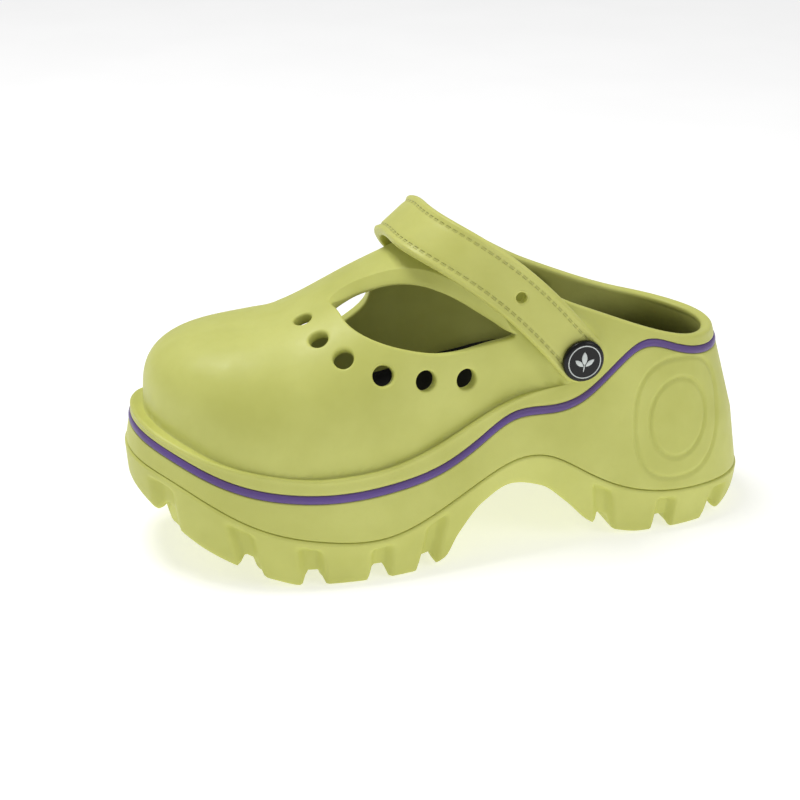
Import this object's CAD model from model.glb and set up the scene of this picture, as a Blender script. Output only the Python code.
import math

import bmesh
import bpy
import numpy as np
from bpy.props import FloatProperty, FloatVectorProperty, IntProperty, PointerProperty
from mathutils import Matrix, Vector
from mathutils.geometry import delaunay_2d_cdt


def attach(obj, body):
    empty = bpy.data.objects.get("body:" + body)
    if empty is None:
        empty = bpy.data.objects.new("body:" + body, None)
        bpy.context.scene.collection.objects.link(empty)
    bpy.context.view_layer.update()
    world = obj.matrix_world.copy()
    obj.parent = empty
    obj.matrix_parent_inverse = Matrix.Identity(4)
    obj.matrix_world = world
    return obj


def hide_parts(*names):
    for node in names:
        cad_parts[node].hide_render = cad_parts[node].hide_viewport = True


bl_info = {
    "name": "Garden clog",
    "version": (1, 0, 0),
    "blender": (4, 5, 0),
    "location": "3D View > Sidebar > Clog",
    "description": "Moulded foam garden clog with a swinging heel strap, built round its packed frame",
    "category": "Object",
}

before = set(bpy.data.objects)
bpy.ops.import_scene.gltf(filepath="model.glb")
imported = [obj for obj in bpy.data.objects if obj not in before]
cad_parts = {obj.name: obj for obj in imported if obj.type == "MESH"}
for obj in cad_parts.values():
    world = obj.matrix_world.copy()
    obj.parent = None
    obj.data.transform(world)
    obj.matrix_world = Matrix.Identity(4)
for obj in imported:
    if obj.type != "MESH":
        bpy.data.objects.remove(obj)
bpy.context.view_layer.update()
MM = 0.001

# Sizes below are in millimetres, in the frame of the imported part.
LEAN = 0.17                 # the side wall leans in by this much per millimetre of height
SOLE_LEAN = 0.08            # the outsole's wall leans in by this much per millimetre below the ledge
HEEL_LEAN = 0.13            # further lean of the heel's back
HEEL_LEAN_START = 42        # height where that further lean begins
SOLE_STEP = 0.6             # the outsole stands this far proud of the midsole
BELOW_STRIPE = 1.65         # the midsole ends this far below the stripe's line
ABOVE_STRIPE = 1.75         # and the upper begins this far above it
RIM_HEIGHT = 82.0           # height at which the heel's rim is looked up along the shoe

# Widest line of the sole, counterclockwise seen from above: (x, y).
OUTLINE = [
    (-135, 1.5), (-128, -25.5), (-105, -45.5), (-72, -55.5), (-38, -56.5), (0, -49.5), (35, -44.5),
    (70, -44.5), (100, -41.5), (124, -28.5), (135, 1), (124, 30), (100, 42.5), (68, 44.5),
    (32, 44.5), (0, 48.5), (-38, 56.5), (-75, 55.5), (-108, 44.5), (-128, 26.5),
]

# Side-view lines that run along the shoe: (x, z).
LEDGE = [
    (-150, 44.4), (-126, 43.4), (-113, 37), (-98, 28.7), (-83, 23), (-64, 19.2), (-40, 18.5),
    (-18, 26), (0, 35), (18, 42), (32, 40.7), (50, 30.6), (64, 23.5), (83, 18.7), (103, 17.4), (150, 17),
]
STRIPE = [
    (-150, 57.5), (-135, 55.6), (-125, 52.6), (-112, 46.6), (-97, 41), (-82, 38), (-60, 36.6),
    (-34, 38.8), (-16, 43), (2, 52.2), (15, 59.6), (34, 60.3), (47, 63), (64, 75.5), (74, 81.8),
    (91, 79.3), (108, 75.4), (150, 75),
]
SPLIT = [(42, 70), (55, 76.4), (64, 81), (74, 85.6), (83, 84.6), (92, 82.6), (112, 79), (150, 78)]
RIM = [
    (-10, 132), (2, 126), (18.7, 116.5), (37, 105.5), (55, 97.5), (73, 90.4), (92, 84.4),
    (112, 81), (150, 80),
]
TREAD = [
    (-150, 42), (-128, 25.8), (-112, 14.2), (-98, 7.6), (-86, 2.8), (-74, 0), (-25, 0), (-14, 3),
    (-9, 12), (2, 25), (15, 31), (29, 27.5), (41, 18), (52, 7.5), (64, 2), (76, 0), (109, 0),
    (120, 3.5), (132, 12), (150, 30),
]
FOOTBED = [
    (-150, 54), (-126, 46), (-113, 40.5), (-98, 36), (-80, 34), (-60, 33.5), (-20, 40), (10, 50),
    (40, 55.5), (70, 56), (150, 56),
]

# Gaps between the lugs: (x at the tread, half width, lean in degrees).
GAPS = [
    (-124.6, 1.9, -4), (-94.5, 2.8, -12), (-70, 3.2, -7), (-43.5, 3.0, 4), (-22.5, 2.6, 10),
    (59, 2.6, -8), (85.5, 3.0, 5), (111, 2.6, 16),
]
GAP_RISE = 5.4              # height of the gaps above the tread
GAP_FLAT = 0.7              # flat share of a gap's half width
GAP_SLOPE = 1.8             # reach of a gap's sloping side past its half width
VALLEY_FLAT = 0.7           # the same two for the valleys that carry the gaps up the side wall
VALLEY_SLOPE = 2.6
VALLEY_DEPTH = 3.2
LEAST_TREAD = 6             # the tread stays at least this far below the ledge

# Instep: (x, half width at -Y, half width at +Y, height of the foot of its sides).
INSTEP = [
    (-66, 49.5, 50, 43.8), (-40, 49.5, 49.5, 45.6), (-12, 44.5, 44, 54), (16, 39, 38.8, 66),
    (42, 37, 37, 70),
]
TOE_FOOT = [(-150, 66), (-129, 60.6), (-118, 56.8), (-104, 51), (-89, 47), (-66, 43.8), (-42, 45.4)]
CREST = [
    (-128, 91.5), (-118, 92), (-104, 92.5), (-88, 93.2), (-66, 97.6), (-40, 110.2), (-12, 123.4),
    (16, 134), (42, 128),
]
TOE_X = -66.0               # the toe box's sections fan out from here
TOE_REACH = 61.4            # length of the toe box in front of TOE_X
THROAT_END = 42.0           # the upper's flattened plan ends here, and the wall round the heel begins

# Points on the edge of the outer window, and the width of its bevelled lip at each of them.
WINDOW_OUTER = [
    (-52.4, -10.2, 103.7), (-51.2, -8.9, 104.1), (-49.2, -8, 104.7), (-45, -7.5, 106.6), (-38.5, -10, 109.8),
    (-31.5, -13.5, 112.4),
    (-25.2, -18.5, 114), (-18.8, -24, 114), (-12.4, -29, 112), (-5.5, -33, 108.6),
    (1.9, -36, 103.8), (10, -37.4, 98), (15.6, -37.8, 94.2), (17.4, -37.9, 93), (15.4, -38.1, 92.3),
    (8.5, -38.9, 91.4), (-1.8, -40.2, 89.9),
    (-11.8, -41.1, 89.2), (-28.3, -41.1, 92.3), (-43, -35.6, 97), (-50.4, -25.3, 101.5), (-52.2, -13, 102.4),
]
LIP_WIDTHS = [
    1.2, 2.2, 3.0, 3.6, 4.0, 4.3, 4.6, 4.6, 4.4, 4.3, 4.0, 3.2, 1.2, 0.5, 0.1, 0, 0, 0, 0, 0, 0.3, 0.5,
]
WINDOW_VIEW = (0.643, 0.766)    # sine and cosine of the 40 degrees that the windows are seen down at

# The inner window: (x, height in that view).
WINDOW_INNER = [
    (-64, 39), (-58, 51), (-48, 62), (-37, 67), (-28.5, 60.5), (-24.3, 49), (-25, 38),
    (-33, 29.5), (-42, 23.5), (-51, 21.5), (-60, 24), (-64.5, 31),
]

# Middles of the vents in side view: (x, z).
VENTS_OUTER = [(-64.7, 97.5), (-61.5, 94), (-54, 89), (-39.6, 83.3), (-22, 79.3), (-4.3, 77.4)]
VENT_SHARES = [0.86, 0.9, 0.95, 1.0, 1.0, 1.0]     # their radii as shares of the full one
VENTS_INNER = [(-74, 72), (-77, 82), (-72, 92)]

# Rings moulded into the heel's sides: (half length, half height, squareness).
RING_MIDDLE = (92.0, 49.0)
RINGS = [(13.9, 16.9, 2.0), (21.0, 25.6, 2.5)]
RING_DEPTH = 0.85

PIVOT = (43.6, 82.0)        # x and z of the axis that the strap turns on
PAD_Y = 38.6                # outer face of the pads under the strap's ends
STRAP_CREST = (-19.8, 133.5)
STRAP_POWER = 2.8           # squareness of the strap's arch
STRAP_FACE = 43.1           # outer face of the strap's ends
STRAP_TAIL = 40             # the strap's path runs straight this far past the pivots
STRAP_BOW = 4.0             # bow of both legs out of the arch's plane
STRAP_CONE = 0.0022         # the arch gets shorter toward its rear edge by this share per millimetre
STRAP_SWAY = (1.2, -11.0)   # further bow of the outer leg and of the inner one
STITCH_REACH = 3.5          # distance of the stitch marks from the strap's edge
STITCH_PITCH = 3.4
HOLE_REACH = 38.0           # distance of the adjuster holes from the pivots
CAP_BASE = 43.4             # inner face of the rivets' caps
BADGE_Y = 46.05             # foot of the ring and the sprig, just under the caps' tops

# Leaflets of the badge's sprig: x, z, angle, length, half width.
LEAFLETS = [
    (-0.4, -4.4, 84, 3.4, 0.28), (0.0, -1.4, 92, 5.8, 1.15), (-0.5, -1.9, 140, 4.6, 0.95),
    (0.4, -1.9, 38, 4.6, 0.95),
]


# ------------------------------------------------------------------ curves
def line_through(points):
    """Height of a smooth side-view line as a function of x."""
    x, y = np.array(points, float).T
    h = np.diff(x)
    n = len(x)
    a = np.eye(n)
    r = np.zeros(n)
    for i in range(1, n - 1):
        a[i, i - 1], a[i, i], a[i, i + 1] = h[i - 1], 2 * (h[i - 1] + h[i]), h[i]
        r[i] = 6 * ((y[i + 1] - y[i]) / h[i] - (y[i] - y[i - 1]) / h[i - 1])
    m = np.linalg.solve(a, r)

    def height(v):
        v = np.asarray(v, float)
        i = np.clip(np.searchsorted(x, v) - 1, 0, n - 2)
        s = np.clip(v - x[i], 0, h[i])
        t = h[i] - s
        return (m[i] * t**3 + m[i + 1] * s**3) / (6 * h[i]) + (y[i] / h[i] - m[i] * h[i] / 6) * t + (
            y[i + 1] / h[i] - m[i + 1] * h[i] / 6) * s

    return height


def steady_line(points):
    """Like line_through, but it never swings past its points."""
    x, y = np.array(points, float).T
    h = np.diff(x)
    d = np.diff(y) / h
    slope = np.zeros(len(x))
    same = d[:-1] * d[1:] > 0
    slope[1:-1][same] = 2 * d[:-1][same] * d[1:][same] / (d[:-1] + d[1:])[same]
    slope[0], slope[-1] = d[0], d[-1]

    def height(v):
        v = np.asarray(v, float)
        i = np.clip(np.searchsorted(x, v) - 1, 0, len(x) - 2)
        t = np.clip((v - x[i]) / h[i], 0, 1)
        return (y[i] * (1 + 2 * t) * (1 - t) ** 2 + slope[i] * h[i] * t * (1 - t) ** 2
                + y[i + 1] * t * t * (3 - 2 * t) + slope[i + 1] * h[i] * t * t * (t - 1))

    return height


def even(points, count, closed=False):
    """The same path with count points at even steps."""
    p = np.asarray(points, float)
    if closed:
        p = np.vstack([p, p[:1]])
    s = np.concatenate([[0], np.cumsum(np.linalg.norm(np.diff(p, axis=0), axis=1))])
    at = np.linspace(0, s[-1], count, endpoint=not closed)
    return np.stack([np.interp(at, s, p[:, k]) for k in range(p.shape[1])], axis=1)


def closed_spline(points, count, values=None):
    """count even points of the closed smooth curve through points, and values carried along it."""
    p = np.array(points, float)
    if values is not None:
        p = np.hstack([p, np.array(values, float)[:, None]])
    n = len(p)
    h = np.linalg.norm(np.roll(p, -1, 0)[:, :2] - p[:, :2], axis=1)
    a = np.zeros((n, n))
    r = np.zeros(p.shape)
    for i in range(n):
        k = (i + 1) % n
        a[i, i - 1] += h[i - 1]
        a[i, i] += 2 * (h[i - 1] + h[i])
        a[i, k] += h[i]
        r[i] = 6 * ((p[k] - p[i]) / h[i] - (p[i] - p[i - 1]) / h[i - 1])
    m = np.linalg.solve(a, r)
    out = []
    for i in range(n):
        k = (i + 1) % n
        s = np.linspace(0, h[i], 60, endpoint=False)[:, None]
        t = h[i] - s
        out.append((m[i] * t**3 + m[k] * s**3) / (6 * h[i]) + (p[i] / h[i] - m[i] * h[i] / 6) * t
                   + (p[k] / h[i] - m[k] * h[i] / 6) * s)
    return even(np.vstack(out), count, closed=True)


def blend_step(low, high, v):
    t = np.clip((np.asarray(v, float) - low) / (high - low), 0, 1)
    return t * t * (3 - 2 * t)


ledge_at = line_through(LEDGE)
stripe_at = line_through(STRIPE)
split_at = line_through(SPLIT)
rim_at = line_through(RIM)
footbed_at = steady_line(FOOTBED)
tread_at = steady_line(TREAD)
toe_foot_at = line_through(TOE_FOOT)
crest_at = line_through(CREST)
near_at = line_through([(p[0], p[1]) for p in INSTEP])
far_at = line_through([(p[0], p[2]) for p in INSTEP])
foot_at = line_through([(p[0], p[3]) for p in INSTEP])

RING_LINE = closed_spline(OUTLINE, 4000)
_run = np.roll(RING_LINE, -1, 0) - np.roll(RING_LINE, 1, 0)
_run /= np.linalg.norm(_run, axis=1)[:, None]
RING_OUT = np.stack([_run[:, 1], -_run[:, 0]], axis=1)
HEEL_TIP = int(np.argmax(RING_LINE[:, 0]))
TOE_TIP = int(np.argmin(RING_LINE[:, 0]))


def ring_place(at):
    """Outline points and outward directions at fractional sample numbers."""
    at = np.asarray(at, float) % len(RING_LINE)
    i = at.astype(int)
    f = (at - i)[:, None]
    k = (i + 1) % len(RING_LINE)
    out = RING_OUT[i] * (1 - f) + RING_OUT[k] * f
    return RING_LINE[i] * (1 - f) + RING_LINE[k] * f, out / np.linalg.norm(out, axis=1)[:, None]


def side_sample(x, near):
    """Fractional sample number where the outline reaches x on one side."""
    toe = TOE_TIP if TOE_TIP < HEEL_TIP else TOE_TIP - len(RING_LINE)
    if near:
        i = np.arange(toe, HEEL_TIP + 1)
    else:
        i = np.arange(toe + len(RING_LINE), HEEL_TIP - 1, -1)
    return np.interp(x, RING_LINE[i % len(RING_LINE), 0], i)


def wall(place, out, z, inset=0.0):
    """Points of the leaning side wall."""
    back = HEEL_LEAN * np.maximum(z - HEEL_LEAN_START, 0) * blend_step(96, 131, place[:, 0])
    shift = LEAN * (z - ledge_at(place[:, 0])) + back + inset
    return np.column_stack([place - out * shift[:, None], z])


# ------------------------------------------------------------------ meshes
class Mould:
    """Points and faces of one moulded piece while it is put together."""

    def __init__(self):
        self.points = []
        self.faces = []
        self.uv = []

    def add(self, points, uv=None):
        start = len(self.points)
        self.points.extend(np.asarray(points, float).tolist())
        self.uv.extend([(0.0, 0.0)] * len(points) if uv is None else np.asarray(uv, float).tolist())
        return np.arange(start, len(self.points))

    def strip(self, a, b, closed=False):
        n = len(a) if closed else len(a) - 1
        for i in range(n):
            k = (i + 1) % len(a)
            corners = list(dict.fromkeys((int(a[i]), int(a[k]), int(b[k]), int(b[i]))))
            if len(corners) > 2:
                self.faces.append(tuple(corners))

    def skin(self, rows, closed=False):
        for a, b in zip(rows, rows[1:]):
            self.strip(a, b, closed)

    def at(self, ids):
        return np.array([self.points[i] for i in ids])

    def lid(self, near, far, cuts, height):
        """Closes a row of the sole across from its near half to its far half, lifted to height."""
        a, b = self.at(near), self.at(far)
        across = [near]
        for t in np.linspace(0, 1, cuts)[1:-1]:
            p = a * (1 - t) + b * t
            p[:, 2] = height(p)
            across.append(self.add(p))
        across.append(far)
        self.skin([np.array(c) for c in zip(*across)])

    def make(self, name, material, merge=1e-4):
        mesh = bpy.data.meshes.new(name)
        mesh.from_pydata([[c * MM for c in p] for p in self.points], [], self.faces)
        layer = mesh.uv_layers.new(name="UVMap")
        for loop in mesh.loops:
            layer.data[loop.index].uv = self.uv[loop.vertex_index]
        bm = bmesh.new()
        bm.from_mesh(mesh)
        bmesh.ops.remove_doubles(bm, verts=bm.verts, dist=merge * MM)
        bmesh.ops.dissolve_degenerate(bm, edges=bm.edges, dist=merge * MM)
        bmesh.ops.recalc_face_normals(bm, faces=bm.faces)
        for face in bm.faces:
            face.smooth = True
        bm.to_mesh(mesh)
        bm.free()
        piece = bpy.data.objects.new(name, mesh)
        bpy.context.scene.collection.objects.link(piece)
        mesh.materials.append(material)
        return piece


def outward(loop, hole):
    """Unit directions in the plane away from the inside of a loop, or into it if hole is false."""
    ahead = np.roll(loop, -1, 0) - np.roll(loop, 1, 0)
    ahead /= np.linalg.norm(ahead, axis=1)[:, None]
    side = np.column_stack([ahead[:, 1], -ahead[:, 0]])
    x, y = loop.T
    area = np.sum(x * np.roll(y, -1) - np.roll(x, -1) * y)
    return side * (1 if (area > 0) == hole else -1)


def within(points, loop):
    """Which points lie inside a closed loop."""
    x, y = points.T
    inside = np.zeros(len(points), bool)
    for (x0, y0), (x1, y1) in zip(loop, np.roll(loop, -1, 0)):
        crosses = (y0 > y) != (y1 > y)
        if crosses.any():
            inside ^= crosses & (x < (x1 - x0) * (y - y0) / (y1 - y0 + 1e-12) + x0)
    return inside


def triangulate(outer, holes, spacing):
    """Places and triangles that fill a flat region: the loops' points first, then an even lattice."""
    loops = [outer, *holes]
    low, high = outer.min(0), outer.max(0)
    rows = np.arange(low[1], high[1], spacing * 0.866)
    lattice = np.array([(x, y) for i, y in enumerate(rows)
                        for x in np.arange(low[0] + (i % 2) * spacing / 2, high[0], spacing)])
    keep = within(lattice, outer)
    for hole in holes:
        keep &= ~within(lattice, hole)
    lattice = lattice[keep]
    edge = np.vstack([even(loop, len(loop) * 2, closed=True) for loop in loops])
    near = np.full(len(lattice), 1e9)
    for start in range(0, len(edge), 400):
        part = edge[start:start + 400]
        gap = np.linalg.norm(lattice[:, None, :] - part[None], axis=2).min(1)
        near = np.minimum(near, gap)
    lattice = lattice[near > spacing * 0.62]
    places = np.vstack(loops + [lattice])
    edges = []
    start = 0
    for loop in loops:
        n = len(loop)
        edges += [(start + i, start + (i + 1) % n) for i in range(n)]
        start += n
    found = delaunay_2d_cdt([Vector(p) for p in places], edges, [], 0, 1e-7)
    back = [origin[0] for origin in found[3]]
    triangles = np.array([[back[v] for v in face] for face in found[2]])
    middle = places[triangles].mean(1)
    keep = within(middle, outer)
    for hole in holes:
        keep &= ~within(middle, hole)
    return places, triangles[keep]


def lie(surface, plane, sign=1.0):
    """Points of a surface and its outward directions at places of its flattened plane."""
    step = 0.05
    points = surface(plane)
    du = surface(plane + [step, 0]) - surface(plane - [step, 0])
    dv = surface(plane + [0, step]) - surface(plane - [0, step])
    out = np.cross(du, dv)
    length = np.linalg.norm(out, axis=1)[:, None]
    return points, sign * out / np.maximum(length, 1e-9)


def round_on(surface, centre, radius, count):
    """A circle of that radius on the surface, as places in its flattened plane."""
    step = 0.2
    p = surface(centre + np.array([[step, 0], [-step, 0], [0, step], [0, -step]]))
    slope = np.column_stack([p[0] - p[1], p[2] - p[3]]) / (2 * step)
    across = slope[:, 0] / np.linalg.norm(slope[:, 0])
    up = slope[:, 1] - across * (slope[:, 1] @ across)
    up /= np.linalg.norm(up)
    a = np.linspace(0, 2 * math.pi, count, endpoint=False)
    circle = radius * (np.outer(np.cos(a), across) + np.outer(np.sin(a), up))
    return centre + circle @ np.linalg.pinv(slope).T


def edge_rows(round_off, thickness, lip=None):
    """Distance from a hole's edge and depth of each row over a rounded edge, outer face first."""
    r = round_off
    w = np.zeros(1) if lip is None else lip
    d = np.minimum(0.68 * w, 2.6)
    plain = [(1.3, 0), (1.0, 0.01), (0.78, 0.04), (0.6, 0.1), (0.45, 0.18), (0.3, 0.3), (0.13, 0.5), (0, 1)]
    cut = [(1.12, 0), (1.02, 0.0), (0.985, 0.03), (0.95, 0.09), (0.7, 0.42), (0.35, 0.88), (0.05, 1.26),
           (0, 1.42)]
    share = np.clip(w / 2.4, 0, 1)
    rows = [(r * a * (1 - share) + w * c * share, r * b * (1 - share) + d * e * share)
            for (a, b), (c, e) in zip(plain, cut)]
    rows += [
        (0 * w, thickness - r + 0 * w), (0.13 * r + 0 * w, thickness - 0.5 * r + 0 * w),
        (0.5 * r + 0 * w, thickness - 0.13 * r + 0 * w), (1.3 * r + 0 * w, thickness + 0 * w),
    ]
    return rows


def rim_of_hole(mould, surface, loop, rows, outer_ids, inner_ids, sign=1.0):
    """Carries a sheet's outer face round the edge of one hole to its inner face."""
    away = outward(loop, True)
    ids = [outer_ids]
    for offset, depth in rows[1:-1]:
        plane = loop + away * np.broadcast_to(offset, (len(loop),))[:, None]
        points, out = lie(surface, plane, sign)
        ids.append(mould.add(points - out * np.broadcast_to(depth, (len(loop),))[:, None], plane))
    ids.append(inner_ids)
    mould.skin(ids, closed=True)


def finish_piece(piece, body, nodes=()):
    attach(piece, body)
    if nodes:
        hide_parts(*nodes)
    return piece


# ------------------------------------------------------------------ surfaces of the upper
def sections(x0, turn, samples=140):
    """Paths down the upper's outside from its crest: points, and how far along each one they lie."""
    c, s = np.cos(turn), np.sin(turn)
    c = np.where(np.abs(c) < 1e-9, 0, c)
    half = np.where(s < 0, near_at(np.maximum(x0, TOE_X)), far_at(np.maximum(x0, TOE_X)))
    reach = 1 / ((np.abs(c) / TOE_REACH) ** 2.05 + (np.abs(s) / half) ** 2.05) ** (1 / 2.05)
    power = (2.4 + 1.5 * c * c)[:, None]
    foot = np.where(c < 0, toe_foot_at(x0 + reach * c), foot_at(np.maximum(x0, TOE_X)))
    lean = np.linspace(math.pi / 2, 0, samples)[None, :]
    cos_l, sin_l = np.cos(lean), np.sin(lean)
    r = (np.maximum(cos_l, 1e-9) ** power + np.maximum(sin_l, 1e-9) ** power) ** (-1 / power)
    q, h = r * cos_l, r * sin_l
    x = x0[:, None] + (reach * c)[:, None] * q
    y = (reach * s)[:, None] * q
    z = foot[:, None] + (crest_at(x) - foot[:, None]) * h
    to_wall = blend_step(18, THROAT_END, x0)
    if (to_wall > 0).any():
        near_p = ring_place(side_sample(x0, True))[0]
        far_p = ring_place(side_sample(x0, False))[0]
        edge = np.where(s < 0, -near_p[:, 1], far_p[:, 1])
        straight = edge[:, None] - LEAN * (z - ledge_at(x0)[:, None])
        share = to_wall[:, None] * blend_step(125, 108, z)
        y = np.sign(s)[:, None] * (np.abs(y) * (1 - share) + straight * share)
        y = np.where(q < 1e-6, 0, y)
    points = np.stack([x, y, z], axis=2)
    steps = np.linalg.norm(np.diff(points, axis=1), axis=2)
    along = np.concatenate([np.zeros((len(x0), 1)), np.cumsum(steps, axis=1)], axis=1)
    return points, along


def walk(points, along, distance):
    """The point a given distance along each path."""
    i = np.clip((along < distance[:, None]).sum(1) - 1, 0, along.shape[1] - 2)
    n = np.arange(len(i))
    span = along[n, i + 1] - along[n, i]
    f = (distance - along[n, i]) / np.maximum(span, 1e-9)
    return points[n, i] * (1 - f)[:, None] + points[n, i + 1] * f[:, None]


def upper_surface(plane):
    """The upper's outside, from its flattened plan: crest on the x axis, sides laid out flat."""
    plane = np.asarray(plane, float)
    dx, dy = plane[:, 0] - TOE_X, plane[:, 1]
    toe = dx < 0
    side = np.where(dy < 0, -math.pi / 2, math.pi / 2)
    turn = np.where(toe, np.arctan2(dy, dx), side)
    distance = np.where(toe, np.hypot(dx, dy), np.abs(dy))
    x0 = np.where(toe, TOE_X, plane[:, 0])
    out = np.empty((len(plane), 3))
    for start in range(0, len(plane), 3000):
        part = slice(start, start + 3000)
        out[part] = walk(*sections(x0[part], turn[part]), distance[part])
    return raise_pads(out)


def raise_pads(points):
    """Lifts the round pads that the strap's ends turn on out of the side walls."""
    far = np.hypot(points[:, 0] - PIVOT[0], points[:, 2] - PIVOT[1])
    y = np.abs(points[:, 1])
    share = np.where(y > 28, 1 - blend_step(11.4, 13.2, far), 0)
    y = y + (PAD_Y - y) * share
    return np.column_stack([points[:, 0], np.sign(points[:, 1]) * y, points[:, 2]])


def window_height(y, z):
    """Height of a place in the view that the side windows are laid out in."""
    return WINDOW_VIEW[1] * z - WINDOW_VIEW[0] * np.abs(y)


def plane_of_view(points, near, view):
    """Places in the flattened plan of points given by x and height in a side window's view."""
    x = np.array([p[0] for p in points], float)
    height = np.array([view(p) for p in points])
    turn = np.full(len(x), -math.pi / 2 if near else math.pi / 2)
    path, along = sections(np.maximum(x, TOE_X), turn, 400)
    seen = window_height(path[:, :, 1], path[:, :, 2])
    distance = np.array([np.interp(-h, -seen[i], along[i]) for i, h in enumerate(height)])
    return np.column_stack([np.maximum(x, TOE_X + 0.01), (-1 if near else 1) * distance])


def plane_of_side(vents, near):
    """Places in the flattened plan of points given in side view, by x and z."""
    x = np.linspace(-125, 40, 331)
    y = np.linspace(4, 100, 193) * (-1 if near else 1)
    grid = np.array([(a, b) for a in x for b in y])
    points = upper_surface(grid)
    found = []
    for vent in vents:
        miss = np.hypot(points[:, 0] - vent[0], points[:, 2] - vent[1])
        found.append(grid[int(np.argmin(miss))])
    return np.array(found)


def throat_edge():
    """The foot opening's edge over the instep, in the flattened plan, from -Y over the crest to +Y."""
    half = []
    for y in np.linspace(0, 28, 15):
        low, high = -30.0, 36.0
        for _ in range(40):
            x = (low + high) / 2
            path, along = sections(np.array([x]), np.array([math.pi / 2]), 400)
            z = np.interp(y, path[0, :, 1], path[0, :, 2])
            if z > float(rim_at(x)):
                high = x
            else:
                low = x
        half.append((x, float(np.interp(y, path[0, :, 1], along[0]))))
    for x in np.linspace(half[-1][0], THROAT_END, 14)[1:]:
        path, along = sections(np.array([x]), np.array([math.pi / 2]), 400)
        half.append((x, float(np.interp(-float(rim_at(x)), -path[0, :, 2], along[0]))))
    far = np.array(half)
    near = far[::-1][:-1] * [1, -1]
    return np.vstack([near, far])


# ------------------------------------------------------------------ materials
class Nodes:
    """Short way to wire up a material."""

    def __init__(self, name, material=None):
        self.material = material or bpy.data.materials.new(name)
        self.material.use_nodes = True
        self.tree = self.material.node_tree
        self.shader = self.tree.nodes["Principled BSDF"]
        self.spot = None if material else self.add("ShaderNodeTexCoord").outputs["Object"]

    def fix(self, **values):
        """Sets the shader's own sockets to plain values."""
        for key, value in values.items():
            self.shader.inputs[key.replace("_", " ")].default_value = value

    def drive(self, name, source):
        self.tree.links.new(source, self.shader.inputs[name])

    def add(self, kind, **values):
        node = self.tree.nodes.new(kind)
        for key, value in values.items():
            if hasattr(node, key):
                setattr(node, key, value)
            else:
                node.inputs[key.replace("_", " ")].default_value = value
        return node

    def link(self, a, b):
        self.tree.links.new(a, b)

    def noise(self, scale, detail=3.0, rough=0.5, where=None):
        node = self.add("ShaderNodeTexNoise", Scale=scale, Detail=detail, Roughness=rough)
        self.link(where or self.spot, node.inputs["Vector"])
        return node.outputs["Fac"]

    def ramp(self, value, low, high, start, end):
        node = self.add("ShaderNodeMapRange")
        for name, v in (("From Min", low), ("From Max", high), ("To Min", start), ("To Max", end)):
            node.inputs[name].default_value = v
        self.link(value, node.inputs["Value"])
        return node.outputs["Result"]

    def math(self, how, a, b):
        node = self.add("ShaderNodeMath", operation=how)
        for slot, v in zip(node.inputs, (a, b)):
            if isinstance(v, (int, float)):
                slot.default_value = v
            else:
                self.link(v, slot)
        return node.outputs[0]

    def mix(self, share, a, b):
        node = self.add("ShaderNodeMix", data_type="RGBA")
        for slot, v in ((node.inputs["Factor"], share), (node.inputs[6], a), (node.inputs[7], b)):
            if isinstance(v, (int, float)):
                slot.default_value = v
            elif isinstance(v, (tuple, list)):
                slot.default_value = (*v, 1.0)
            else:
                self.link(v, slot)
        return node.outputs[2]

    def bump(self, height, strength, distance, normal=None):
        node = self.add("ShaderNodeBump", Strength=strength, Distance=distance)
        self.link(height, node.inputs["Height"])
        if normal is not None:
            self.link(normal, node.inputs["Normal"])
        return node.outputs["Normal"]


def linear(colour):
    return tuple(c / 12.92 if c <= 0.04045 else ((c + 0.055) / 1.055) ** 2.4 for c in colour)


def foam(name, colour, rough=0.46, grain=0.25, dust=0.0):
    """Moulded closed-cell foam: a soft sheen, faint mottling and a very fine skin texture."""
    n = Nodes(name)
    base = linear(colour)
    darker = tuple(c * k for c, k in zip(base, (0.9, 0.9, 0.82)))
    lighter = tuple(min(1, c * k) for c, k in zip(base, (1.03, 1.03, 1.08)))
    tone = n.mix(n.ramp(n.noise(26, 4, 0.55), 0.35, 0.65, 0, 1), darker, lighter)
    tone = n.mix(n.ramp(n.noise(420, 2, 0.5), 0.5, 0.78, 0, 0.16), tone, darker)
    if dust:
        split = n.add("ShaderNodeSeparateXYZ")
        n.link(n.spot, split.inputs[0])
        low = n.ramp(split.outputs["Z"], 0.0, 0.03, dust, 0)
        patch = n.math("MULTIPLY", low, n.ramp(n.noise(90, 4, 0.6), 0.4, 0.7, 0.25, 1))
        tone = n.mix(patch, tone, tuple(c * 0.72 for c in base))
    n.drive("Base Color", tone)
    n.drive("Roughness", n.ramp(n.noise(160, 3, 0.6), 0.3, 0.7, rough - 0.05, rough + 0.07))
    n.fix(IOR=1.46, Specular_IOR_Level=0.42, Subsurface_Weight=0.12, Subsurface_Radius=(1.0, 0.85, 0.35),
          Subsurface_Scale=0.004)
    skin = n.bump(n.noise(2600, 2, 0.5), grain, 0.00006)
    n.drive("Normal", n.bump(n.noise(240, 3, 0.5), 0.18, 0.00025, skin))
    return n.material


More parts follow.
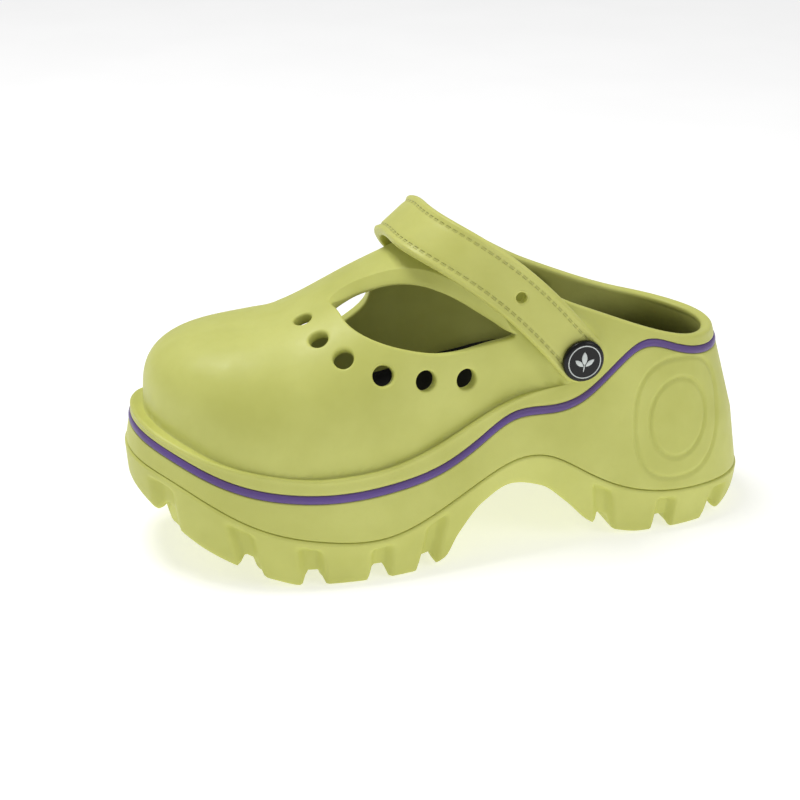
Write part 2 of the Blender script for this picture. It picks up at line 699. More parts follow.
def strap_foam(name, colour):
    """The strap's foam, with the moulded row of stitch marks inside each border."""
    n = Nodes(name, foam(name, colour, 0.45, 0.25))
    uv = n.add("ShaderNodeUVMap", uv_map="UVMap").outputs["UV"]
    split = n.add("ShaderNodeSeparateXYZ")
    n.link(uv, split.inputs[0])
    along = n.math("FRACT", n.math("MULTIPLY", split.outputs["X"], 1 / STITCH_PITCH), 0)
    dash = n.math("LESS_THAN", n.math("ABSOLUTE", n.math("SUBTRACT", along, 0.5), 0), 0.33)
    across = n.math("ABSOLUTE", n.math("SUBTRACT", split.outputs["Y"], STITCH_REACH), 0)
    row = n.ramp(across, 0.3, 0.6, 1, 0)
    stitch = n.math("MULTIPLY", dash, row)
    last = n.shader.inputs["Normal"].links[0].from_socket
    n.drive("Normal", n.bump(n.math("SUBTRACT", 1.0, stitch), 0.9, 0.0005, last))
    tone = n.shader.inputs["Base Color"].links[0].from_socket
    shade = tuple(c * 0.5 for c in linear(colour))
    n.drive("Base Color", n.mix(n.math("MULTIPLY", stitch, 0.35), tone, shade))
    return n.material


def gloss(name, colour, rough=0.18, coat=0.5):
    """Hard glossy moulding with faint scuffs."""
    n = Nodes(name)
    base = linear(colour)
    worn = tuple(min(1, c * 1.35 + 0.004) for c in base)
    n.drive("Base Color", n.mix(n.ramp(n.noise(300, 3), 0.4, 0.7, 0, 0.5), base, worn))
    n.drive("Roughness", n.ramp(n.noise(700, 4, 0.6), 0.35, 0.7, rough, rough + 0.14))
    n.fix(Specular_IOR_Level=0.3, Coat_Weight=coat, Coat_Roughness=0.08)
    n.drive("Normal", n.bump(n.noise(900, 2), 0.12, 0.00004))
    return n.material


def fabric(name, colour):
    """Fine knitted lining of the insole."""
    n = Nodes(name)
    base = linear(colour)
    wave = n.add("ShaderNodeTexWave", Scale=900.0, Distortion=2.0, Detail=2.0)
    n.link(n.spot, wave.inputs["Vector"])
    cross = n.add("ShaderNodeTexWave", Scale=900.0, Distortion=2.0, Detail=2.0, bands_direction="Y")
    n.link(n.spot, cross.inputs["Vector"])
    knit = n.math("MULTIPLY", wave.outputs["Fac"], cross.outputs["Fac"])
    dark, pale = tuple(c * 0.6 for c in base), tuple(c * 1.7 + 0.004 for c in base)
    tone = n.mix(n.ramp(knit, 0.1, 0.9, 0, 1), dark, pale)
    n.drive("Base Color", n.mix(n.ramp(n.noise(60, 4), 0.4, 0.7, 0, 0.4), tone, base))
    n.fix(Roughness=0.9)
    n.drive("Normal", n.bump(knit, 0.5, 0.0002))
    return n.material


# ------------------------------------------------------------------ settings
def colour_setting(name, description, default):
    return FloatVectorProperty(name=name, description=description, subtype="COLOR", size=3, min=0, max=1,
                               default=default)


def size_setting(name, description, default):
    return FloatProperty(name=name, description=description, unit="LENGTH", default=default)


class ClogColours(bpy.types.PropertyGroup):
    foam: colour_setting("Foam", "Colour of the moulded foam", (0.83, 0.84, 0.465))
    strap: colour_setting("Strap", "Colour of the strap's foam", (0.83, 0.835, 0.465))
    stripe: colour_setting("Stripe", "Colour of the accent stripe", (0.41, 0.32, 0.58))
    cap: colour_setting("Rivet cap", "Colour of the rivets' caps", (0.012, 0.012, 0.012))
    badge: colour_setting("Badge", "Colour of the ring and sprig on the caps", (0.82, 0.84, 0.83))
    insole: colour_setting("Insole", "Colour of the insole", (0.07, 0.07, 0.075))


class ClogSizes(bpy.types.PropertyGroup):
    wall: size_setting("Wall", "Thickness of the upper's shell", 0.005)
    edge: size_setting("Edge", "Rounding of the shell's edges", 0.0011)
    vent: size_setting("Vent", "Radius of the round vents", 0.0043)
    mesh: size_setting("Mesh", "Spacing of the upper's lattice", 0.0024)
    strap_width: size_setting("Strap width", "Width of the heel strap", 0.0216)
    strap_wall: size_setting("Strap thickness", "Thickness of the heel strap", 0.0042)
    columns: IntProperty(name="Columns", description="Columns round one side of the sole", default=230)


def halves(ring, count):
    """A closed row of the sole as its near side and its far side, both from toe to heel."""
    return ring[:count], np.concatenate([ring[:1], ring[:count - 2:-1]])[:count]


def sole_columns(count):
    """Sample numbers round the whole outline, near side first, closer together over the heel's rings."""
    def side(a, b):
        i = np.linspace(a, b, 1200)
        x = ring_place(i)[0][:, 0]
        weight = 1 + 1.7 * blend_step(62, 70, x) * (1 - blend_step(113, 119, x))
        s = np.concatenate([[0], np.cumsum((weight[1:] + weight[:-1]) / 2)])
        return np.interp(np.linspace(0, s[-1], count + 1), s, i)

    toe = TOE_TIP if TOE_TIP < HEEL_TIP else TOE_TIP - len(RING_LINE)
    near = side(toe, HEEL_TIP)
    far = side(HEEL_TIP, toe + len(RING_LINE))
    return near, far


# ------------------------------------------------------------------ operators
class CLOG_OT_upper(bpy.types.Operator):
    """Moulded upper: one shell with a foot opening, two side windows and round vents"""

    bl_idname = "clog.upper"
    bl_label = "Upper"

    def execute(self, context):
        sizes, colours = context.scene.clog_sizes, context.scene.clog_colours
        thick, soft = sizes.wall / MM, sizes.edge / MM
        vent, spacing = sizes.vent / MM, sizes.mesh / MM

        x_near = np.linspace(THROAT_END, TOE_X, 45)
        turns = np.linspace(-math.pi / 2, -1.5 * math.pi, 75)[1:-1]
        x0 = np.concatenate([x_near, np.full(len(turns), TOE_X), x_near[::-1]])
        turn = np.concatenate([np.full(45, -math.pi / 2), turns, np.full(45, math.pi / 2)])
        path, along = sections(x0, turn)
        total = along[:, -1]
        base_plane = np.column_stack([
            np.where(np.abs(np.cos(turn)) < 1e-9, x0, x0 + total * np.cos(turn)), total * np.sin(turn)])
        base_front = path[:, -1]

        toe_i = np.arange(len(RING_LINE))
        angle = np.arctan2(RING_LINE[:, 1], RING_LINE[:, 0] - TOE_X)
        angle = np.where(angle > 0, angle - 2 * math.pi, angle)
        front = RING_LINE[:, 0] < TOE_X + 20
        order = toe_i[front][np.argsort(angle[front])]
        toe_place = np.column_stack([np.interp(turns, angle[order], RING_LINE[order, k]) for k in (0, 1)])
        toe_out = np.column_stack([np.interp(turns, angle[order], RING_OUT[order, k]) for k in (0, 1)])
        near_place, near_out = ring_place(side_sample(x_near, True))
        far_place, far_out = ring_place(side_sample(x_near[::-1], False))
        start = float(side_sample(THROAT_END, False))
        end = float(side_sample(THROAT_END, True))
        heel_samples = np.linspace(start, end, 104)[1:-1]
        heel_place, heel_out = ring_place(heel_samples)

        place = np.vstack([near_place, toe_place, far_place, heel_place])
        out = np.vstack([near_out, toe_out / np.linalg.norm(toe_out, axis=1)[:, None], far_out, heel_out])
        heel_base = wall(heel_place, heel_out, split_at(heel_place[:, 0]))
        base = np.vstack([base_front, heel_base])

        mould = Mould()
        bottom = stripe_at(place[:, 0]) + ABOVE_STRIPE
        top = base[:, 2]
        fade = 1 - blend_step(8, 44, place[:, 0])
        rows = []
        band = [(0, 0.6, 0), (0.02, 0.15, 0.25), (0.1, 0, 0), (0.3, 0, 0), (0.55, 0, 0), (0.78, 0, 0)]
        for share, inset, lift in band:
            z = bottom + (top - bottom) * share + lift
            rows.append(mould.add(wall(place, out, z, inset)))
        crown = top + 0.9
        for inset, drop in ((-0.15, 1.5), (-0.35, 0.8), (-0.05, 0.25), (0.6, 0.0), (1.5, 0.25)):
            proud = wall(place, out, crown - drop, inset)
            flat = wall(place, out, top - (top - bottom) * 0.05 * drop, 0)
            rows.append(mould.add(proud * fade[:, None] + flat * (1 - fade)[:, None]))
        groove = base.copy()
        groove[:, 2] = np.minimum(top, crown - 0.6)
        toward = place - base[:, :2]
        toward /= np.maximum(np.linalg.norm(toward, axis=1)[:, None], 1e-6)
        groove[:, :2] += toward * 0.45
        rows.append(mould.add(groove * fade[:, None] + base * (1 - fade)[:, None]))
        mould.skin(rows, closed=True)

        edge = even(throat_edge(), 74)
        edge_away = outward(np.vstack([edge, [(200, 60), (200, -60)]]), True)[:74]
        edge_away[0], edge_away[-1] = (0, -1), (0, 1)
        rim_rows = edge_rows(1.5, thick)
        first = edge + edge_away * rim_rows[0][0]
        lift = np.linspace(0, 1, 11)
        near_col = base_plane[0] + (first[0] - base_plane[0]) * lift[:, None]
        last = len(base_plane) - 1
        far_col = base_plane[last] + (first[-1] - base_plane[last]) * lift[:, None]
        boundary = np.vstack([base_plane, far_col[1:-1], first[::-1], near_col[::-1][1:-1]])

        loops, lips = [], []
        window = plane_of_view(WINDOW_OUTER, True, lambda p: window_height(p[1], p[2]))
        shape = closed_spline(window, 110, LIP_WIDTHS)
        loops.append(shape[:, :2])
        lips.append(np.maximum(shape[:, 2], 0))
        inner = plane_of_view(WINDOW_INNER, False, lambda p: p[1])
        loops.append(closed_spline(inner, 84))
        lips.append(None)
        for centres, near in ((VENTS_OUTER, True), (VENTS_INNER, False)):
            for centre, share in zip(plane_of_side(centres, near), VENT_SHARES):
                loops.append(round_on(upper_surface, centre, vent * share, 28))
                lips.append(None)
        profiles = [edge_rows(soft, thick, lip) for lip in lips]
        holes = [loop + outward(loop, True) * np.broadcast_to(profile[0][0], (len(loop),))[:, None]
                 for loop, profile in zip(loops, profiles)]

        places, triangles = triangulate(boundary, holes, spacing)
        points, normals = lie(upper_surface, places)
        outer_ids = mould.add(points)
        inner_ids = mould.add(points - normals * thick)
        mould.faces += [tuple(int(outer_ids[v]) for v in t) for t in triangles]
        mould.faces += [tuple(int(inner_ids[v]) for v in t[::-1]) for t in triangles]
        at = len(boundary)
        for loop, hole, profile in zip(loops, holes, profiles):
            ids = np.arange(at, at + len(hole))
            rim_of_hole(mould, upper_surface, loop, profile, outer_ids[ids], inner_ids[ids])
            at += len(hole)

        count = len(base_plane)
        tail = count + 9 + len(first)
        far_side = np.concatenate([[last], np.arange(count, count + 10)])
        near_side = np.concatenate([[0], np.arange(tail, tail + 9)[::-1], [tail - 1]])
        far_ids, far_in = outer_ids[far_side], inner_ids[far_side]
        near_ids, near_in = outer_ids[near_side], inner_ids[near_side]
        heel_rows, heel_inner = [], []
        inward = np.column_stack([heel_out, np.full(len(heel_out), LEAN)])
        inward /= np.linalg.norm(inward, axis=1)[:, None]
        low = split_at(heel_place[:, 0])
        tip = wall(heel_place, heel_out, np.full(len(heel_place), RIM_HEIGHT))
        high = rim_at(tip[:, 0])
        for k in range(11):
            z = low + (high - rim_rows[0][0] - low) * lift[k]
            p = raise_pads(wall(heel_place, heel_out, z))
            q = mould.add(p)
            heel_rows.append(np.concatenate([[far_ids[k]], q, [near_ids[k]]]))
            heel_inner.append(np.concatenate([[far_in[k]], mould.add(p - inward * thick), [near_in[k]]]))
        mould.skin(heel_rows)
        mould.skin(heel_inner)

        base_ids = np.concatenate([outer_ids[:count], heel_rows[0][1:-1]])
        mould.strip(rows[-1], base_ids, closed=True)
        base_in = np.concatenate([inner_ids[:count], heel_inner[0][1:-1]])
        drop = mould.at(base_in)
        drop[:, 2] = np.minimum(bottom, footbed_at(drop[:, 0]) - 1.0)
        low_in = mould.add(drop)
        mould.strip(base_in, low_in, closed=True)
        mould.strip(low_in, rows[0], closed=True)

        outer_rim = np.concatenate([outer_ids[count + 9:tail], heel_rows[-1][1:-1][::-1]])
        inner_rim = np.concatenate([inner_ids[count + 9:tail], heel_inner[-1][1:-1][::-1]])
        ids = [outer_rim]
        for offset, depth in rim_rows[1:-1]:
            offset, depth = float(offset[0]), float(depth[0])
            p, n = lie(upper_surface, edge[::-1] + edge_away[::-1] * offset)
            heel = wall(heel_place, heel_out, high - offset) - inward * depth
            ids.append(mould.add(np.vstack([p - n * depth, heel[::-1]])))
        ids.append(inner_rim)
        mould.skin(ids, closed=True)

        piece = mould.make("upper_shell", foam("upper_foam", colours.foam))
        finish_piece(piece, "shoe", ["upper"])
        return {"FINISHED"}


class CLOG_OT_midsole(bpy.types.Operator):
    """Midsole: the tall side wall between the ledge and the stripe, with ring grooves at the heel"""

    bl_idname = "clog.midsole"
    bl_label = "Midsole"

    def execute(self, context):
        near, far = sole_columns(context.scene.clog_sizes.columns)
        place, out = ring_place(np.concatenate([near, far[1:-1]]))
        low = ledge_at(place[:, 0]) + 0.15
        high = stripe_at(place[:, 0]) - BELOW_STRIPE
        mould = Mould()
        rows = [mould.add(wall(place, out, low, 8.0)), mould.add(wall(place, out, low, 0.9))]
        rows.append(mould.add(wall(place, out, low + 0.15, 0.3)))
        for t in np.linspace(0, 1, 64):
            z = low + 0.6 + (high - low - 1.0) * t
            points = wall(place, out, z)
            groove = np.zeros(len(points))
            for a, b, power in RINGS:
                u = np.abs(points[:, 0] - RING_MIDDLE[0]) / a
                v = np.abs(points[:, 2] - RING_MIDDLE[1]) / b
                r = np.maximum(u**power + v**power, 1e-9) ** (1 / power)
                steep = np.hypot(u ** (power - 1) / a, v ** (power - 1) / b) / r ** (power - 1)
                gap = np.abs(r - 1) / np.maximum(steep, 1e-6)
                groove = np.maximum(groove, RING_DEPTH * (1 - blend_step(0.25, 1.25, gap)))
            fade = blend_step(0.0, 1.2, high - 0.4 - z)
            rows.append(mould.add(wall(place, out, z, groove * fade)))
        rows.append(mould.add(wall(place, out, high - 0.12, 0.2)))
        rows.append(mould.add(wall(place, out, high, 0.7)))
        rows.append(mould.add(wall(place, out, high, 3.2)))
        bed = footbed_at(place[:, 0])
        rows.append(mould.add(wall(place, out, np.minimum(bed, high - 0.3), 4.2)))
        mould.skin(rows, closed=True)
        for edge, line, room in ((rows[-1], footbed_at, 0), (rows[0], ledge_at, 0.1)):
            mould.lid(*halves(edge, len(near)), 12,
                      lambda p: np.clip(p[:, 2], line(p[:, 0]), line(p[:, 0]) + room))
        piece = mould.make("midsole_wall", foam("sole_foam", context.scene.clog_colours.foam, 0.5))
        finish_piece(piece, "shoe", ["midsole"])
        return {"FINISHED"}


class CLOG_OT_stripe(bpy.types.Operator):
    """Accent stripe: a slim rounded cord line let into the side wall"""

    bl_idname = "clog.stripe"
    bl_label = "Stripe"

    def execute(self, context):
        near, far = sole_columns(context.scene.clog_sizes.columns)
        place, out = ring_place(np.concatenate([near, far[1:-1]]))
        middle = stripe_at(place[:, 0])
        mould = Mould()
        profile = [(-1.6, 2.2), (-1.6, 0.45), (-1.35, 0.05), (-0.8, -0.25), (0, -0.36), (0.8, -0.25),
                   (1.35, 0.05), (1.65, 0.45), (1.65, 2.2)]
        rows = [mould.add(wall(place, out, middle + dz, inset)) for dz, inset in profile]
        mould.skin(rows, closed=True)
        mould.strip(rows[-1], rows[0], closed=True)
        piece = mould.make("stripe_band", foam("stripe_rubber", context.scene.clog_colours.stripe, 0.4, 0.15))
        finish_piece(piece, "shoe", ["accent_stripe"])
        return {"FINISHED"}


def gap_share(x, z, flat, spread):
    """How far a place lies inside a gap between two lugs, from 0 to 1, with sides that slope by spread."""
    share = np.zeros(np.shape(x))
    for gap, half, lean in GAPS:
        at = gap + math.tan(math.radians(lean)) * (z - tread_at(gap))
        share = np.maximum(share, 1 - blend_step(half * flat, half + spread, np.abs(x - at)))
    return share


def valley_depth(x, z, top):
    """How deep the side wall is hollowed between two lugs, fading out below the ledge."""
    return VALLEY_DEPTH * gap_share(x, z, VALLEY_FLAT, VALLEY_SLOPE) * blend_step(2.6, 5.4, top - z)


class CLOG_OT_outsole(bpy.types.Operator):
    """Outsole: a wave-shaped tread with deep lugs and slanted valleys between them"""

    bl_idname = "clog.outsole"
    bl_label = "Outsole"

    def execute(self, context):
        near, far = sole_columns(int(context.scene.clog_sizes.columns * 1.5))
        place, out = ring_place(np.concatenate([near, far[1:-1]]))
        x = place[:, 0]
        top = ledge_at(x)
        tread = np.minimum(tread_at(x), top - LEAST_TREAD)
        notch = gap_share(x, tread + 2, GAP_FLAT, GAP_SLOPE)
        bottom = np.minimum(tread + GAP_RISE * notch, top - 5)
        mould = Mould()

        def sole(z, inset):
            shift = inset - SOLE_STEP + SOLE_LEAN * (top - z)
            return np.column_stack([place - out * shift[:, None], z])

        rows = [mould.add(sole(top - 0.05, 8.0)), mould.add(sole(top - 0.05, 1.2)),
                mould.add(sole(top - 0.25, 0.35))]
        for t in np.linspace(0, 1, 26):
            z = top - 0.9 + (bottom + 3.0 - top + 0.9) * t
            rows.append(mould.add(sole(z, valley_depth(x, z, top))))
        valley = valley_depth(x, bottom, top)
        for lift, inset in ((1.5, 0.04), (0.8, 0.22), (0.3, 0.62), (0.06, 1.15), (0.0, 1.9)):
            rows.append(mould.add(sole(bottom + lift, valley + inset)))
        mould.skin(rows, closed=True)

        def underside(p):
            flat = np.minimum(tread_at(p[:, 0]), ledge_at(p[:, 0]) - LEAST_TREAD)
            z = flat + GAP_RISE * gap_share(p[:, 0], flat + 2, GAP_FLAT, GAP_SLOPE)
            middle = 1 - blend_step(6.5, 9.5, np.abs(p[:, 1]))
            return np.minimum(z + 4.0 * middle, np.maximum(ledge_at(p[:, 0]) - 5, z))

        mould.lid(*halves(rows[-1], len(near)), 22, underside)
        mould.strip(*halves(rows[0], len(near)))
        skin = foam("tread_foam", context.scene.clog_colours.foam, 0.52, 0.35, 0.18)
        piece = mould.make("lugged_outsole", skin)
        finish_piece(piece, "shoe", ["outsole"])
        return {"FINISHED"}


def strap_path(samples=600):
    """Arch of the strap in its own plane, from the pivot at -Y over the crest to the one at +Y."""
    length = math.hypot(STRAP_CREST[0] - PIVOT[0], STRAP_CREST[1] - PIVOT[1])
    a = np.linspace(0, math.pi, samples)
    c, s = np.cos(a), np.sin(a)
    r = (np.abs(c) ** STRAP_POWER + np.abs(s) ** STRAP_POWER) ** (-1 / STRAP_POWER)
    arch = np.column_stack([length * r * s, -STRAP_FACE * r * c])
    arch = np.vstack([[(-STRAP_TAIL, -STRAP_FACE)], arch, [(-STRAP_TAIL, STRAP_FACE)]])
    steps = np.linalg.norm(np.diff(arch, axis=0), axis=1)
    along = np.concatenate([[0], np.cumsum(steps)])
    return arch, along - along[-1] / 2, length


def rolled(gap):
    """Height of the strap's rolled border, and of the crease inside it, at a distance from the edge."""
    return 0.6 * np.exp(-((gap - 1.5) / 1.05) ** 2) - 0.4 * np.exp(-((gap - STITCH_REACH) / 0.6) ** 2)


class CLOG_OT_strap(bpy.types.Operator):
    """Heel strap: an arched band with rolled borders, round ends and two adjuster holes"""

    bl_idname = "clog.strap"
    bl_label = "Heel strap"

    def execute(self, context):
        sizes = context.scene.clog_sizes
        half, thick = sizes.strap_width / MM / 2 - 0.4, sizes.strap_wall / MM
        arch, along, length = strap_path()
        pitch = math.atan2(STRAP_CREST[1] - PIVOT[1], PIVOT[0] - STRAP_CREST[0])
        pivot_u = along[-1] - STRAP_TAIL
        c, s = math.cos(pitch), math.sin(pitch)

        def border(plane):
            past = np.maximum(np.abs(plane[:, 0]) - pivot_u, 0)
            return half - np.hypot(past, plane[:, 1])

        def surface(plane):
            x = np.interp(plane[:, 0], along, arch[:, 0])
            y = np.interp(plane[:, 0], along, arch[:, 1])
            bow = STRAP_BOW * np.maximum(0, 1 - ((x - length / 2) / (length / 2)) ** 2)
            bow = np.where(x < 0, 0, bow)
            share = np.clip(plane[:, 0] / pivot_u, -1, 1)
            sway = np.sin(math.pi * share) ** 2 * np.where(share < 0, STRAP_SWAY[0], STRAP_SWAY[1])
            z = plane[:, 1] + bow + sway
            x = x * (1 - STRAP_CONE * plane[:, 1])
            return np.column_stack([PIVOT[0] - x * c + z * s, y, PIVOT[1] + x * s + z * c])

        turn = np.linspace(-math.pi / 2, math.pi / 2, 22)
        cap = np.column_stack([pivot_u + half * np.cos(turn), half * np.sin(turn)])
        run = np.linspace(pivot_u, -pivot_u, 150)[1:-1]
        outline = np.vstack([cap, np.column_stack([run, np.full(len(run), half)]), -cap,
                             np.column_stack([run[::-1], np.full(len(run), -half)])])
        rows = edge_rows(1.4, thick)
        away = -outward(outline, True)
        inside = outline + away * rows[0][0]
        hole_u = pivot_u - HOLE_REACH
        a = np.linspace(0, 2 * math.pi, 22, endpoint=False)
        eye = np.column_stack([np.cos(a), np.sin(a)])
        loops = [side * np.array([hole_u, 0.0]) + 2.2 * eye for side in (-1, 1)]
        eye_rows = edge_rows(0.8, thick)
        holes = [loop + outward(loop, True) * eye_rows[0][0] for loop in loops]
        places, triangles = triangulate(inside, holes, 1.15)
        points, normals = lie(surface, places, -1.0)
        gap = border(places)
        roll = rolled(gap)
        mould = Mould()
        uv = np.column_stack([places[:, 0], gap])
        outer_ids = mould.add(points + normals * roll[:, None], uv)
        inner_ids = mould.add(points - normals * thick, uv * [1, 0] + [0, -9])
        mould.faces += [tuple(int(outer_ids[v]) for v in t) for t in triangles]
        mould.faces += [tuple(int(inner_ids[v]) for v in t[::-1]) for t in triangles]
        at = len(inside)
        for loop, hole in zip(loops, holes):
            ids = np.arange(at, at + len(hole))
            rim_of_hole(mould, surface, loop, eye_rows, outer_ids[ids], inner_ids[ids], -1.0)
            at += len(hole)
        ids = [outer_ids[:len(inside)]]
        for offset, depth in rows[1:-1]:
            plane = outline + away * float(offset[0])
            p, n = lie(surface, plane, -1.0)
            g = border(plane)
            sink = float(depth[0]) - rolled(g) * (float(depth[0]) < thick / 2)
            ids.append(mould.add(p - n * sink[:, None], np.column_stack([plane[:, 0], g])))
        ids.append(inner_ids[:len(inside)])
        mould.skin(ids, closed=True)
        skin = strap_foam("strap_skin", context.scene.clog_colours.strap)
        piece = mould.make("heel_strap_band", skin)
        finish_piece(piece, "strap", ["heel_strap"])
        return {"FINISHED"}


def placed(name, data):
    """A new object with data, put into the scene."""
    thing = bpy.data.objects.new(name, data)
    bpy.context.scene.collection.objects.link(thing)
    return thing


def turned(name, profile, place, direction, material, steps=64):
    """A piece turned from a profile of radius and height, put at place and looking along direction."""
    mesh = bpy.data.meshes.new(name)
    edges = [(i, i + 1) for i in range(len(profile) - 1)]
    mesh.from_pydata([(r * MM, 0, h * MM) for r, h in profile], edges, [])
    piece = placed(name, mesh)
    screw = piece.modifiers.new("Turn", "SCREW")
    screw.axis = "Z"
    screw.steps = screw.render_steps = steps
    screw.use_merge_vertices = True
    screw.merge_threshold = 0.00001
    screw.use_smooth_shade = True
    depsgraph = bpy.context.evaluated_depsgraph_get()
    done = bpy.data.meshes.new_from_object(piece.evaluated_get(depsgraph))
    piece.modifiers.clear()
    piece.data = done
    bpy.data.meshes.remove(mesh)
    done.name = name
    turn = Vector((0, 0, 1)).rotation_difference(Vector(direction)).to_matrix().to_4x4()
    done.transform(Matrix.Translation(Vector(place) * MM) @ turn)
    bm = bmesh.new()
    bm.from_mesh(done)
    bmesh.ops.remove_doubles(bm, verts=bm.verts, dist=1e-6)
    bmesh.ops.recalc_face_normals(bm, faces=bm.faces)
    for face in bm.faces:
        face.smooth = True
    bm.to_mesh(done)
    bm.free()
    done.materials.clear()
    done.materials.append(material)
    return piece


def leaflet_outline(x, z, angle, length, width):
    """Closed outline of one pointed leaflet that starts at x, z and points along angle."""
    t = np.linspace(0, 1, 13)
    bulge = width * np.sin(math.pi * t) ** 0.8
    up = np.column_stack([length * t, bulge])
    down = np.column_stack([length * t, -bulge])[::-1][1:-1]
    shape = np.vstack([up, down])
    c, s = math.cos(math.radians(angle)), math.sin(math.radians(angle))
    return np.column_stack([x + shape[:, 0] * c - shape[:, 1] * s, z + shape[:, 0] * s + shape[:, 1] * c])


class CLOG_OT_rivets(bpy.types.Operator):
    """Rivets: glossy domed caps outside the strap's ends, with a pale ring and a sprig on each"""

    bl_idname = "clog.rivets"
    bl_label = "Rivets"

    def execute(self, context):
        colours = context.scene.clog_colours
        cap = gloss("rivet_gloss", colours.cap, 0.22, 0.12)
        badge = gloss("badge_enamel", colours.badge, 0.3, 0.3)
        profile = [(0, 2.8), (5, 2.8), (7.45, 2.79), (8.0, 2.68), (8.45, 2.38), (8.7, 1.9), (8.8, 1.4),
                   (8.75, 0.7), (8.5, 0.25), (8.1, 0.02), (3.0, 0.0), (2.95, -6), (0, -6)]
        for side, name in ((-1, "outer"), (1, "inner")):
            axis = (0, side, 0)
            piece = turned(name + "_rivet_cap", profile, (PIVOT[0], side * CAP_BASE, PIVOT[1]), axis, cap)
            finish_piece(piece, "shoe", [name + "_rivet"])
            ring = [(7.05, 0.1), (7.03, 0.28), (6.9, 0.36), (6.75, 0.36), (6.62, 0.28), (6.6, 0.1),
                    (7.05, 0.1)]
            face = (PIVOT[0], side * BADGE_Y, PIVOT[1])
            hoop = turned(name + "_badge_hoop", ring, face, axis, badge)
            finish_piece(hoop, "shoe", [name + "_badge_ring"])
            sprig = Mould()
            for leaflet in LEAFLETS:
                flat = leaflet_outline(*leaflet)
                middle = flat.mean(0)
                rings = []
                for grow, rise in ((1.0, 0.05), (1.0, 0.3), (0.8, 0.41)):
                    p = middle + (flat - middle) * grow
                    y = np.full(len(p), side * (BADGE_Y + rise))
                    rings.append(sprig.add(np.column_stack([PIVOT[0] + p[:, 0], y, PIVOT[1] + p[:, 1]])))
                sprig.skin(rings, closed=True)
                sprig.faces.append(tuple(int(i) for i in rings[-1]))
                sprig.faces.append(tuple(int(i) for i in rings[0][::-1]))
            leaf = sprig.make(name + "_badge_sprig", badge)
            finish_piece(leaf, "shoe", [name + "_badge_leaf"])
            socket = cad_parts[name + "_rivet_socket"]
            socket.data.materials.clear()
            socket.data.materials.append(cap)
        return {"FINISHED"}


class CLOG_OT_footbed(bpy.types.Operator):
    """Footbed: the dark knitted insole"""

    bl_idname = "clog.footbed"
    bl_label = "Footbed"

    def execute(self, context):
        colours = context.scene.clog_colours
        near, far = sole_columns(120)
        place, out = ring_place(np.concatenate([near, far[1:-1]]))
        bed = footbed_at(place[:, 0])
        mould = Mould()
        profile = [(0.3, 9.6), (5.0, 8.4), (8.2, 8.1), (8.9, 8.5), (8.7, 9.3), (6.2, 10.2), (4.6, 12.5),
                   (4.1, 16)]
        rows = [mould.add(wall(place, out, bed + rise, inset)) for rise, inset in profile]
        mould.skin(rows, closed=True)
        for edge, rise in ((rows[-1], 4.1), (rows[0], 0.3)):
            mould.lid(*halves(edge, len(near)), 14, lambda p: footbed_at(p[:, 0]) + rise)
        piece = mould.make("cupped_insole", fabric("insole_knit", colours.insole))
        finish_piece(piece, "shoe", ["insole"])
        return {"FINISHED"}


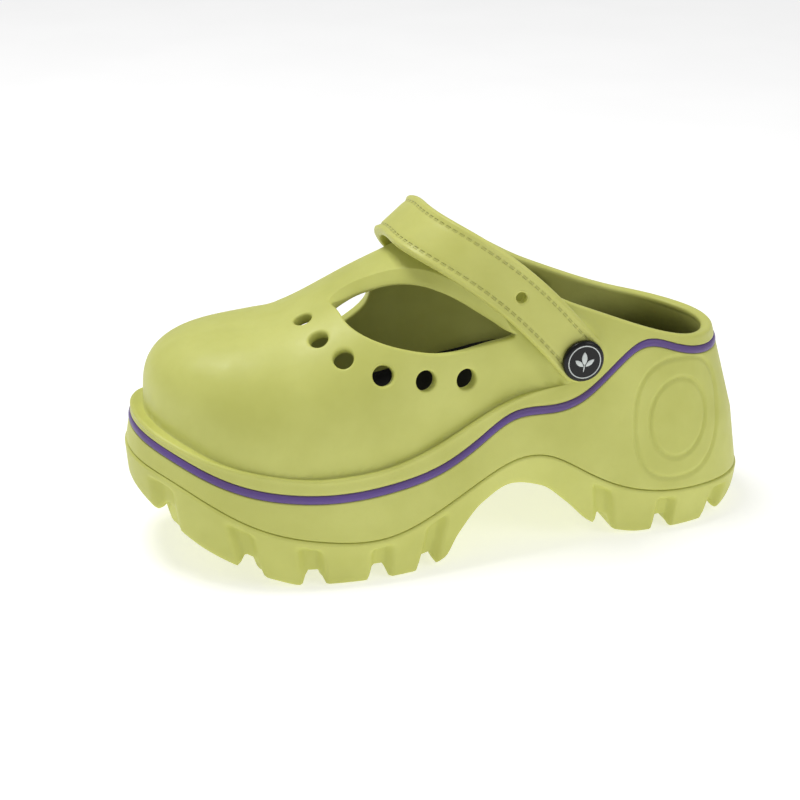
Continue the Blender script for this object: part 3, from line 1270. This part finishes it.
class CLOG_OT_stage(bpy.types.Operator):
    """Stage: pale floor, soft studio light and the camera"""

    bl_idname = "clog.stage"
    bl_label = "Stage"

    def execute(self, context):
        floor_mesh = bpy.data.meshes.new("floor")
        size, drop = 4.0, -0.0004
        corners = [(-size, -size, drop), (size, -size, drop), (size, size, drop), (-size, size, drop)]
        floor_mesh.from_pydata(corners, [], [(0, 1, 2, 3)])
        floor = placed("floor", floor_mesh)
        n = Nodes("floor_paper")
        tone = n.mix(n.ramp(n.noise(8, 3), 0.4, 0.6, 0, 1), (0.69, 0.69, 0.69), (0.71, 0.71, 0.71))
        n.drive("Base Color", tone)
        n.fix(Roughness=0.9, Emission_Color=(1, 1, 1, 1), Emission_Strength=0.54)
        floor_mesh.materials.append(n.material)

        world = bpy.data.worlds.new("studio")
        world.use_nodes = True
        background = world.node_tree.nodes["Background"]
        background.inputs["Color"].default_value = (1, 1, 1, 1)
        background.inputs["Strength"].default_value = 0.36
        bpy.context.scene.world = world

        def lamp(name, place, target, size, power):
            data = bpy.data.lights.new(name, "AREA")
            data.shape = "DISK"
            data.size = size
            data.energy = power
            light = placed(name, data)
            light.location = place
            light.rotation_mode = "QUATERNION"
            light.rotation_quaternion = (Vector(target) - Vector(place)).to_track_quat("-Z", "Y")

        middle = (0, 0, 0.06)
        lamp("key_light", (-0.35, 0.2, 1.25), middle, 0.5, 8.5)
        lamp("heel_light", (0.75, -0.8, 0.75), (0.09, 0, 0.05), 0.6, 2.4)

        context.scene.view_settings.view_transform = "Standard"
        data = bpy.data.cameras.new("camera")
        data.sensor_width = 36
        data.lens = 74.19
        data.clip_start, data.clip_end = 0.01, 20
        camera = placed("camera", data)
        turn, rise, roll = math.radians(-16.585), math.radians(23.008), 0.0188
        back = Vector((math.sin(turn) * math.cos(rise), -math.cos(turn) * math.cos(rise), math.sin(rise)))
        right = Vector((math.cos(turn), math.sin(turn), 0))
        up = back.cross(right)
        right_r = right * math.cos(roll) + up * math.sin(roll)
        up_r = up * math.cos(roll) - right * math.sin(roll)
        target = Vector((-0.01927, 0.0015, 0.05221))
        spot = target + back * 0.6993
        turned_to = Matrix((right_r, up_r, back)).transposed().to_4x4()
        camera.matrix_world = Matrix.Translation(spot) @ turned_to
        bpy.context.scene.camera = camera
        return {"FINISHED"}


class CLOG_PT_panel(bpy.types.Panel):
    bl_idname = "CLOG_PT_panel"
    bl_label = "Garden clog"
    bl_space_type = "VIEW_3D"
    bl_region_type = "UI"
    bl_category = "Clog"

    def draw(self, context):
        layout = self.layout
        for settings in (context.scene.clog_sizes, context.scene.clog_colours):
            for name in settings.__annotations__:
                layout.prop(settings, name)
        for operator in OPERATORS:
            layout.operator(operator.bl_idname)


OPERATORS = (CLOG_OT_upper, CLOG_OT_midsole, CLOG_OT_stripe, CLOG_OT_outsole, CLOG_OT_strap,
             CLOG_OT_rivets, CLOG_OT_footbed, CLOG_OT_stage)
CLASSES = (ClogColours, ClogSizes, *OPERATORS, CLOG_PT_panel)


def register():
    for cls in CLASSES:
        bpy.utils.register_class(cls)
    bpy.types.Scene.clog_sizes = PointerProperty(type=ClogSizes)
    bpy.types.Scene.clog_colours = PointerProperty(type=ClogColours)


def unregister():
    del bpy.types.Scene.clog_colours
    del bpy.types.Scene.clog_sizes
    for cls in reversed(CLASSES):
        bpy.utils.unregister_class(cls)


def main():
    register()
    bpy.ops.clog.upper()
    bpy.ops.clog.midsole()
    bpy.ops.clog.stripe()
    bpy.ops.clog.outsole()
    bpy.ops.clog.strap()
    bpy.ops.clog.rivets()
    bpy.ops.clog.footbed()
    bpy.ops.clog.stage()


if __name__ == "__main__":
    main()
